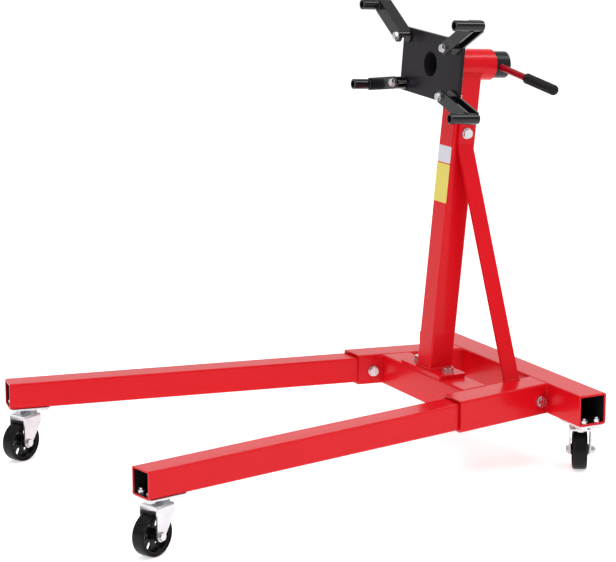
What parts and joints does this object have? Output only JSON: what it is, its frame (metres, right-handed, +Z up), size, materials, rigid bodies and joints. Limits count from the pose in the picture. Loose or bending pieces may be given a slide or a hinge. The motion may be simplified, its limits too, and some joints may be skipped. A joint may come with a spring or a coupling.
{
  "type": "engine stand",
  "caption": "Rolling engine stand: splayed U-shaped base, leaning braced mast and a rotating head plate with adjustable arms and a tilt handle.",
  "frame": {"origin": "on the floor, below the middle of the overall box", "axes": "+Z up; -Y towards the legs' open ends and the engine; +Y towards the rear crossbar; +X to the side that carries the handle's grip"},
  "size_m": [0.6945, 0.9894, 0.866],
  "materials": {
    "frame_red": "glossy red powder coat",
    "handle_red": "dark red paint",
    "plate_black": "semi-gloss black paint",
    "arm_black": "gloss black paint",
    "spindle_black": "satin black paint",
    "zinc": "bright zinc plate",
    "caster_steel": "pressed, zinc-plated steel",
    "grip_rubber": "ribbed black rubber",
    "wheel_plastic": "glossy black moulding",
    "tyre_black": "smooth glossy black",
    "label_white": "plain white film",
    "label_yellow": "plain yellow film"
  },
  "bodies": {
    "frame": {"rear_crossbar": "frame_red", "right_sleeve": "frame_red", "left_sleeve": "frame_red", "front_crossmember": "frame_red", "right_leg": "frame_red", "left_leg": "frame_red", "leg_clamp_bolts": "zinc", "leg_clamp_washers": "zinc", "leg_clamp_nuts": "zinc", "mast_tube": "frame_red", "mast_base_plate": "frame_red", "mast_base_bolts": "zinc", "mast_base_washers": "zinc", "mast_base_nuts": "zinc", "right_brace": "frame_red", "left_brace": "frame_red", "brace_bolt": "zinc", "brace_washers": "zinc", "brace_nut": "zinc", "upper_label": "label_white", "lower_label": "label_yellow", "head_collar": "frame_red", "lock_boss": "frame_red", "caster_plates": "caster_steel", "caster_plate_bolts": "zinc", "caster_plate_nuts": "zinc", "caster_kingpins": "caster_steel", "caster_ball_rings": "caster_steel"},
    "lock": {"lock_screw": "zinc"},
    "head": {"spindle_tube": "spindle_black", "head_plate": "plate_black", "arm_bolts": "zinc", "arm_washers": "zinc", "arm_nuts": "zinc"},
    "handle": {"handle_rod": "handle_red", "handle_grip": "grip_rubber"},
    "arm_upper_left": {"arm_channel_upper_left": "arm_black", "arm_tube_upper_left": "arm_black"},
    "arm_upper_right": {"arm_channel_upper_right": "arm_black", "arm_tube_upper_right": "arm_black"},
    "arm_lower_left": {"arm_channel_lower_left": "arm_black", "arm_tube_lower_left": "arm_black"},
    "arm_lower_right": {"arm_channel_lower_right": "arm_black", "arm_tube_lower_right": "arm_black"},
    "swivel_front_right": {"fork_front_right": "caster_steel", "axle_front_right": "zinc"},
    "wheel_front_right": {"wheel_core_front_right": "wheel_plastic", "wheel_tyre_front_right": "tyre_black"},
    "swivel_front_left": {"fork_front_left": "caster_steel", "axle_front_left": "zinc"},
    "wheel_front_left": {"wheel_core_front_left": "wheel_plastic", "wheel_tyre_front_left": "tyre_black"},
    "swivel_rear_right": {"fork_rear_right": "caster_steel", "axle_rear_right": "zinc"},
    "wheel_rear_right": {"wheel_core_rear_right": "wheel_plastic", "wheel_tyre_rear_right": "tyre_black"},
    "swivel_rear_left": {"fork_rear_left": "caster_steel", "axle_rear_left": "zinc"},
    "wheel_rear_left": {"wheel_core_rear_left": "wheel_plastic", "wheel_tyre_rear_left": "tyre_black"}
  },
  "joints": [
    {"name": "head_spin", "type": "hinge", "parent": "frame", "child": "head", "pos_m": [0, 0.34453, 0.751], "axis": [0, -0.9981, 0.061], "continuous": true},
    {"name": "lock_slide", "type": "slide", "parent": "frame", "child": "lock", "axis": [-1, 0, 0], "range_m": [0, 0.01]},
    {"name": "handle_slide", "type": "slide", "parent": "head", "child": "handle", "axis": [0.9925, -0.0074, -0.1216], "range_m": [-0.085, 0.015]},
    {"name": "arm_swing_upper_left", "type": "hinge", "parent": "head", "child": "arm_upper_left", "pos_m": [-0.08465, 0.27143, 0.80079], "axis": [0, -0.9981, 0.061], "range_deg": [-55, 43]},
    {"name": "arm_swing_upper_right", "type": "hinge", "parent": "head", "child": "arm_upper_right", "pos_m": [0.08801, 0.27101, 0.79387], "axis": [0, -0.9981, 0.061], "range_deg": [-45, 52]},
    {"name": "arm_swing_lower_left", "type": "hinge", "parent": "head", "child": "arm_lower_left", "pos_m": [-0.08826, 0.26594, 0.71103], "axis": [0, -0.9981, 0.061], "range_deg": [-68, 28]},
    {"name": "arm_swing_lower_right", "type": "hinge", "parent": "head", "child": "arm_lower_right", "pos_m": [0.0844, 0.26552, 0.70411], "axis": [0, -0.9981, 0.061], "range_deg": [-24, 70]},
    {"name": "swivel_turn_front_right", "type": "hinge", "parent": "frame", "child": "swivel_front_right", "pos_m": [0.31291, -0.43367, 0.08], "axis": [0, 0, 1], "continuous": true},
    {"name": "wheel_spin_front_right", "type": "hinge", "parent": "swivel_front_right", "child": "wheel_front_right", "pos_m": [0.32224, -0.45415, 0.038], "axis": [0.91, 0.4147, 0], "continuous": true},
    {"name": "swivel_turn_front_left", "type": "hinge", "parent": "frame", "child": "swivel_front_left", "pos_m": [-0.31291, -0.43367, 0.08], "axis": [0, 0, 1], "continuous": true},
    {"name": "wheel_spin_front_left", "type": "hinge", "parent": "swivel_front_left", "child": "wheel_front_left", "pos_m": [-0.30358, -0.45415, 0.038], "axis": [0.91, 0.4147, 0], "continuous": true},
    {"name": "swivel_turn_rear_right", "type": "hinge", "parent": "frame", "child": "swivel_rear_right", "pos_m": [0.257, 0.454, 0.08], "axis": [0, 0, 1], "continuous": true},
    {"name": "wheel_spin_rear_right", "type": "hinge", "parent": "swivel_rear_right", "child": "wheel_rear_right", "pos_m": [0.23782, 0.46576, 0.038], "axis": [-0.5225, -0.8526, 0], "continuous": true},
    {"name": "swivel_turn_rear_left", "type": "hinge", "parent": "frame", "child": "swivel_rear_left", "pos_m": [-0.257, 0.454, 0.08], "axis": [0, 0, 1], "continuous": true},
    {"name": "wheel_spin_rear_left", "type": "hinge", "parent": "swivel_rear_left", "child": "wheel_rear_left", "pos_m": [-0.27618, 0.46576, 0.038], "axis": [-0.5225, -0.8526, 0], "continuous": true}
  ]
}
